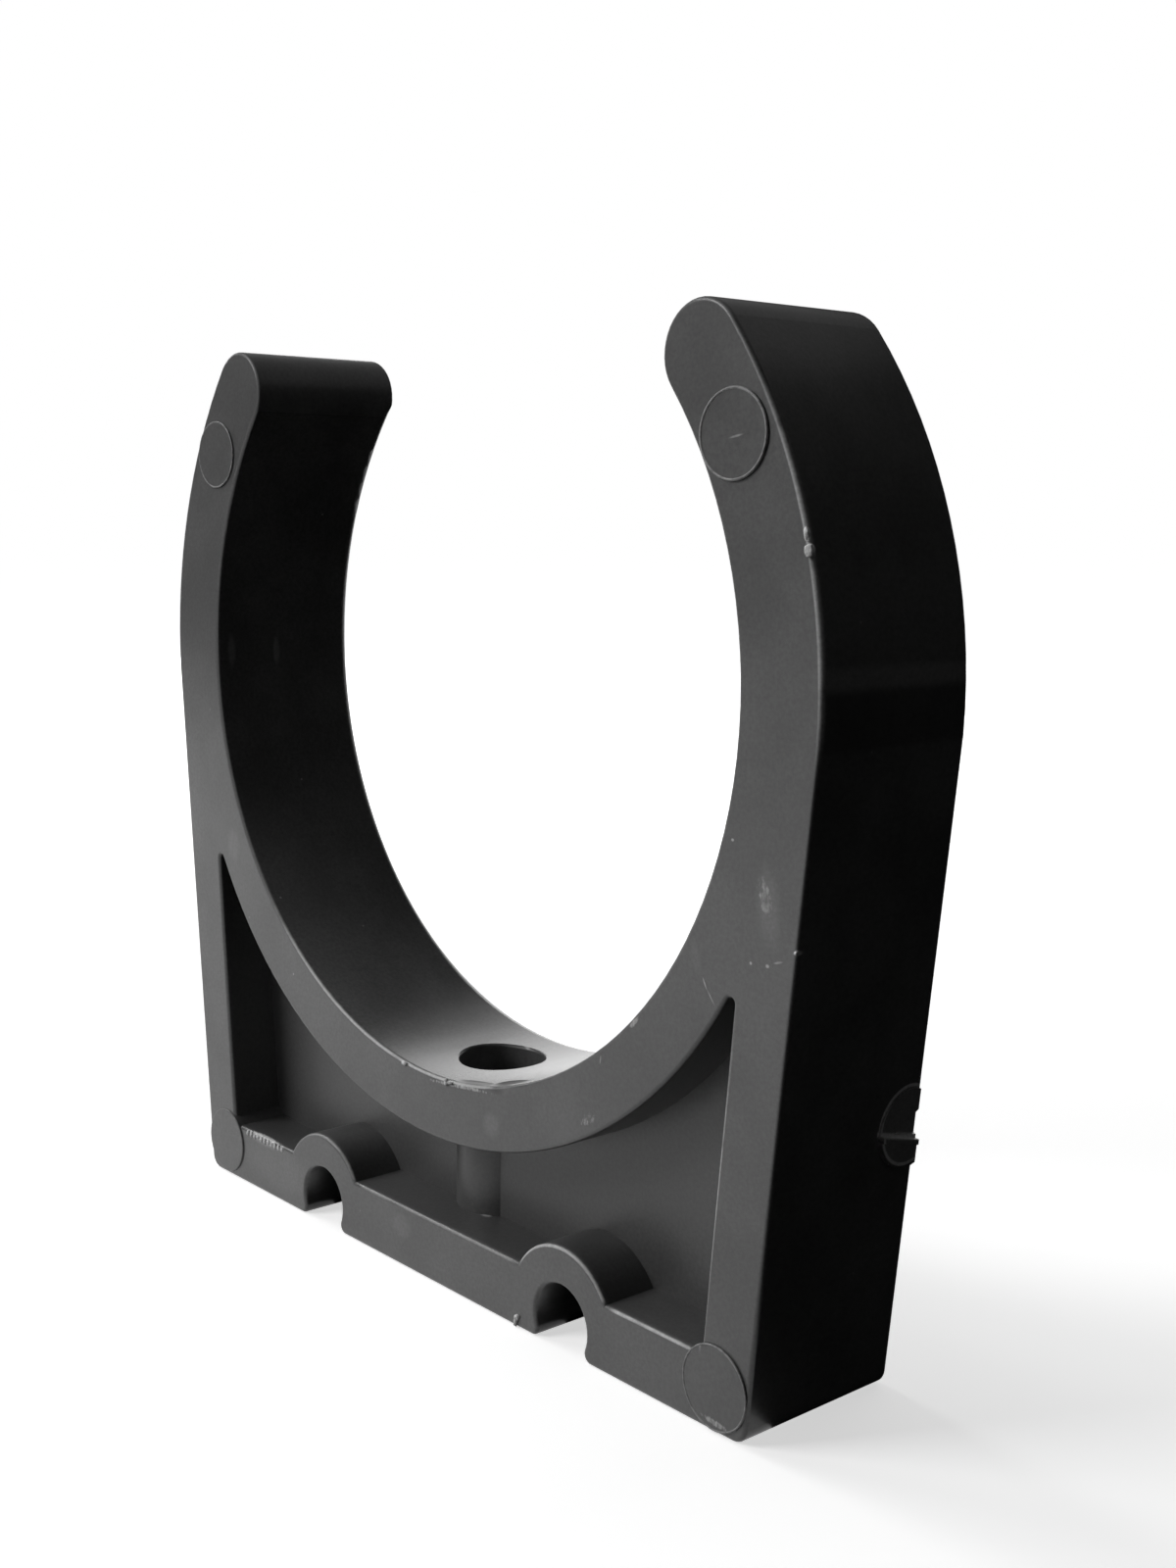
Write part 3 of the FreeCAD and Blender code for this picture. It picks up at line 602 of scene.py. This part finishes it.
flashSet = {
    # middle, reach along x, y and z, and turn about y in degrees
    "bits": {
        "armNub": (((36.90, -6.97, 58.08), (0.20, 0.16, 0.42), -10),
                   ((37.16, -6.98, 57.10), (0.34, 0.24, 0.38), -12)),
        "armChip": (((36.76, -6.96, 32.82), (0.13, 0.12, 0.13), 0),),
        "baseBurr": (((10.36, -6.99, 0.50), (0.17, 0.16, 0.46), 6),
                     ((10.54, -6.97, 0.80), (0.22, 0.16, 0.20), 30)),
        "rimNicks": (((-3.52, -6.98, 16.50), (0.30, 0.14, 0.16), 8),
                     ((1.92, -7.02, 16.34), (0.18, 0.15, 0.30), 0),
                     ((2.30, -7.00, 16.38), (0.34, 0.12, 0.12), -4)),
    },
    # a row of small tears along the flange's edge: the first one, the step to the next, and how
    # the height and the reach upward come and go from tear to tear
    "scuff": {
        "middle": (-27.1, -6.95, 4.62),
        "reach": (0.17, 0.08, 0.24),
        "turn": 14,
        "count": 11,
        "step": 0.56,
        "rise": (0.06, 2.4),
        "stretch": (0.07, 1.7),
    },
    "rough": 0.16,         # share of the reach that the surface wanders
    "lump": 1.7,
    "boxy": 0.75,          # under 1, the lumps are squarer than balls
    "subdivisions": 4,
}


def makeTornPvc(kind, s):
    # The same PVC where it tore or was pinched, which whitens it and leaves it rough; on the print
    # rings the paler colour is also a painted highlight
    dark, light = s[kind]
    material, tree = startMaterial(f"{kind}GreyPvc")
    place = addNode(tree, "ShaderNodeTexCoord").outputs["Object"]
    lumps = addNode(tree, "ShaderNodeTexNoise",
                    {"Scale": 1 / (s["lumpSize"] * mm), "Detail": s["lumpDetail"]},
                    {"Vector": place})
    tint = addNode(tree, "ShaderNodeMix", {"data_type": "RGBA", 6: colour(dark), 7: colour(light)},
                   {0: fade(tree, lumps.outputs["Fac"], *s["lumpRange"])})
    shader = addNode(tree, "ShaderNodeBsdfPrincipled",
                     {"Roughness": s["roughness"], "IOR": pvcSet["ior"]},
                     {"Base Color": tint.outputs[2]})
    addNode(tree, "ShaderNodeOutputMaterial", None, {"Surface": shader.outputs["BSDF"]})
    return material


def addPiece(name, form, material):
    mesh = bpy.data.meshes.new(name)
    form.to_mesh(mesh)
    form.free()
    mesh.shade_smooth()
    mesh.materials.append(material)
    piece = addObject(name, mesh)
    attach(piece, "root")


def makeRing(name, ring, s, material):
    x, z, thickness = ring
    form = bmesh.new()
    section = [2 * math.pi * j / s["sides"] for j in range(s["sides"])]
    loops = []
    for i in range(s["steps"]):
        angle = 2 * math.pi * i / s["steps"]
        out = Vector((math.cos(angle), 0, math.sin(angle)))
        wander = noise.noise(out * s["unevenPace"] + Vector((x, 0, z)))
        bead = thickness * (1 + s["uneven"] * wander)
        middle = Vector((x, s["front"], z)) + out * s["radius"]
        spokes = [out * math.cos(a) - Vector((0, math.sin(a), 0)) for a in section]
        loops.append([form.verts.new((middle + bead * spoke) * mm) for spoke in spokes])
    for i, loop in enumerate(loops):
        after = loops[(i + 1) % len(loops)]
        for j in range(len(loop)):
            k = (j + 1) % len(loop)
            form.faces.new((loop[j], loop[k], after[k], after[j]))
    bmesh.ops.recalc_face_normals(form, faces=form.faces)
    addPiece(name, form, material)


def makeScuff(scuff):
    (x, y, z), (reachX, reachY, reachZ) = scuff["middle"], scuff["reach"]
    (rise, risePace), (stretch, stretchPace) = scuff["rise"], scuff["stretch"]
    return [((x + scuff["step"] * i, y, z + rise * math.sin(risePace * i)),
             (reachX, reachY, reachZ + stretch * math.sin(stretchPace * i)), scuff["turn"])
            for i in range(scuff["count"])]


def makeFlash(name, lumps, s, material):
    form = bmesh.new()
    for middle, reach, turn in lumps:
        lump = bmesh.ops.create_icosphere(form, subdivisions=s["subdivisions"], radius=1)["verts"]
        tilt = Matrix.Rotation(math.radians(turn), 3, "Y")
        for vertex in lump:
            wander = noise.noise(vertex.co * s["lump"] + Vector(middle))
            grow = 1 + s["rough"] * wander
            ball = [math.copysign(abs(c) ** s["boxy"], c) * grow for c in vertex.co]
            shaped = tilt @ Vector([ball[i] * reach[i] for i in range(3)])
            vertex.co = (Vector(middle) + shaped) * mm
    addPiece(name, form, material)


tornPvc = makeTornPvc("torn", tornPvcSet)
pinchedHighlightPvc = makeTornPvc("pinched", tornPvcSet)
for key, ring in ringSet["prints"].items():
    makeRing(f"printRing_{key}", ring, ringSet, pinchedHighlightPvc)
for key, lumps in flashSet["bits"].items():
    makeFlash(f"flash_{key}", lumps, flashSet, tornPvc)
makeFlash("flash_flangeScuff", makeScuff(flashSet["scuff"]), flashSet, tornPvc)
print("flash and print rings made")


# Floor, background, lights and flags, in metres
stageSet = {
    "floorSize": 30.0,
    "floor": "#f0f0f0",
    # The floor's own white, for the eye and reflections only: near the clip it leaves room for the
    # lamps' light and the clip's shadow, and far away it meets the white background
    "glowNear": 0.60,
    "glowFar": 1.0,
    "glowReach": (0.12, 0.45),
    "floorBounce": "#202020",
    "background": "#ffffff",
    "backgroundGlow": 1.0,
    "worldLight": 0.0,
    "middle": Vector((0, 0, 0.035)),
    "lamps": {
        # place, width and height, and power in watts; each lamp looks at the middle
        "keySoftbox": ((-0.284, -0.426, 0.348), (0.26, 0.26), 1.60),
        "lowSoftbox": ((-0.211, -0.561, 0.065), (0.4, 0.4), 0.08),
        "leftSoftbox": ((-0.534, -0.059, 0.302), (0.4, 0.4), 1.75),
        "edgeLamp": ((-0.385, -0.05, 0.35), (0.12, 0.12), 0.25),
        "backLeftPanel": ((-0.448, 0.389, 0.125), (0.4, 0.4), 0.61),
        "backHighPanel": ((-0.059, 0.501, 0.359), (0.4, 0.4), 0.36),
        "rightFill": ((0.572, 0.057, 0.207), (0.4, 0.4), 0.09),
    },
    # Boards that only reflections see, as a photographer keeps a pale room out of a dark satin
    # surface: place, what they face, width and height. The side behind and to the left is open.
    "flags": {
        "flagRight": ((0.045, 0.10, 0.15), (-1, 0, 0), (0.30, 0.30)),
        "flagFront": ((-0.31, -0.225, 0.13), (0.81, 0.59, 0), (0.34, 0.26)),
        "flagLeft": ((-0.125, -0.02, 0.15), (1, 0, 0), (0.30, 0.06)),
        "flagTop": ((0.0625, 0.147, 0.10), (0, 0, -1), (0.275, 0.204)),
        "flagMat": ((-0.04, 0.124, 0.0002), (0, 0, 1), (0.17, 0.256)),
    },
    "flagGlow": 0.0,       # black
    # and a grey card over the arms' ends that glows dimly, a glowing board seen only in reflections
    "cards": {"card": ((0.04, 0.015, 0.10), (0, 0, -1), (0.32, 0.06))},
    "cardGlow": 0.22,
}


def makePlane(name, size, place, facing, material):
    mesh = bpy.data.meshes.new(name)
    w, d = size[0] / 2, size[1] / 2
    mesh.from_pydata([(-w, -d, 0), (w, -d, 0), (w, d, 0), (-w, d, 0)], [], [(0, 1, 2, 3)])
    mesh.materials.append(material)
    plane = addObject(name, mesh)
    plane.location = place
    plane.rotation_mode = "QUATERNION"
    plane.rotation_quaternion = Vector(facing).to_track_quat("Z", "Y")
    return plane


def makeLamp(name, place, size, power, middle):
    data = bpy.data.lights.new(name, "AREA")
    data.shape = "RECTANGLE"
    data.size, data.size_y = size
    data.energy = power
    lamp = addObject(name, data)
    lamp.location = place
    lamp.rotation_mode = "QUATERNION"
    lamp.rotation_quaternion = (lamp.location - middle).to_track_quat("Z", "Y")


def addSeen(tree):
    # 1 for the rays that show the background itself: the camera's, and those that metal or glass
    # sends on
    path = addNode(tree, "ShaderNodeLightPath")
    rays = [path.outputs[f"Is {kind} Ray"] for kind in ("Camera", "Glossy", "Transmission")]
    return join(tree, "MAXIMUM", rays)


def makeFloorPaint(s):
    # Matt white paint, which stays pale to the eye and throws little light back up at the clip
    material, tree = startMaterial("paleFloorPaint")
    paint = addNode(tree, "ShaderNodeBsdfDiffuse", {"Color": colour(s["floor"])})
    place = addNode(tree, "ShaderNodeTexCoord").outputs["Object"]
    away = addNode(tree, "ShaderNodeVectorMath", {"operation": "LENGTH"}, {0: place})
    near, far = s["glowReach"]
    strength = addNode(tree, "ShaderNodeMapRange",
                       {"interpolation_type": "SMOOTHSTEP", "From Min": near, "From Max": far,
                        "To Min": s["glowNear"], "To Max": s["glowFar"]},
                       {"Value": away.outputs["Value"]})
    glow = addNode(tree, "ShaderNodeEmission", None, {"Strength": strength.outputs["Result"]})
    lit = addNode(tree, "ShaderNodeAddShader", None, {0: paint.outputs[0], 1: glow.outputs[0]})
    bounce = addNode(tree, "ShaderNodeBsdfDiffuse", {"Color": colour(s["floorBounce"])})
    mix = addNode(tree, "ShaderNodeMixShader", None,
                  {0: addSeen(tree), 1: bounce.outputs[0], 2: lit.outputs[0]})
    addNode(tree, "ShaderNodeOutputMaterial", None, {"Surface": mix.outputs[0]})
    return material


def makeCloth(name, glow):
    # Even matt cloth or card as a plain glow, without any sheen of its own: black where the glow is
    # 0, a dimly glowing board above that
    material, tree = startMaterial(name)
    cloth = addNode(tree, "ShaderNodeEmission", {"Strength": glow})
    addNode(tree, "ShaderNodeOutputMaterial", None, {"Surface": cloth.outputs[0]})
    return material


def makeWorld(s):
    world = bpy.data.worlds.new("studio")
    bpy.context.scene.world = world
    world.use_nodes = True
    tree = world.node_tree
    tree.nodes.clear()
    white = colour(s["background"])
    lights, seen = [addNode(tree, "ShaderNodeBackground", {"Color": white, "Strength": strength})
                    for strength in (s["worldLight"], s["backgroundGlow"])]
    mix = addNode(tree, "ShaderNodeMixShader", None,
                  {0: addSeen(tree), 1: lights.outputs[0], 2: seen.outputs[0]})
    addNode(tree, "ShaderNodeOutputWorld", None, {"Surface": mix.outputs[0]})


def makeStage(s):
    makeWorld(s)
    makePlane("floor", (s["floorSize"], s["floorSize"]), (0, 0, 0), (0, 0, 1), makeFloorPaint(s))
    boards = ((s["flags"], makeCloth("blackFlagCloth", s["flagGlow"])),
              (s["cards"], makeCloth("greyCard", s["cardGlow"])))
    for places, cloth in boards:
        for name, (place, facing, size) in places.items():
            board = makePlane(name, size, place, facing, cloth)
            board.visible_camera = False
            board.visible_shadow = False
            board.visible_diffuse = False
    for name, (place, size, power) in s["lamps"].items():
        makeLamp(name, place, size, power, s["middle"])


makeStage(stageSet)
print("stage set")

bpy.context.scene.view_settings.view_transform = "Standard"
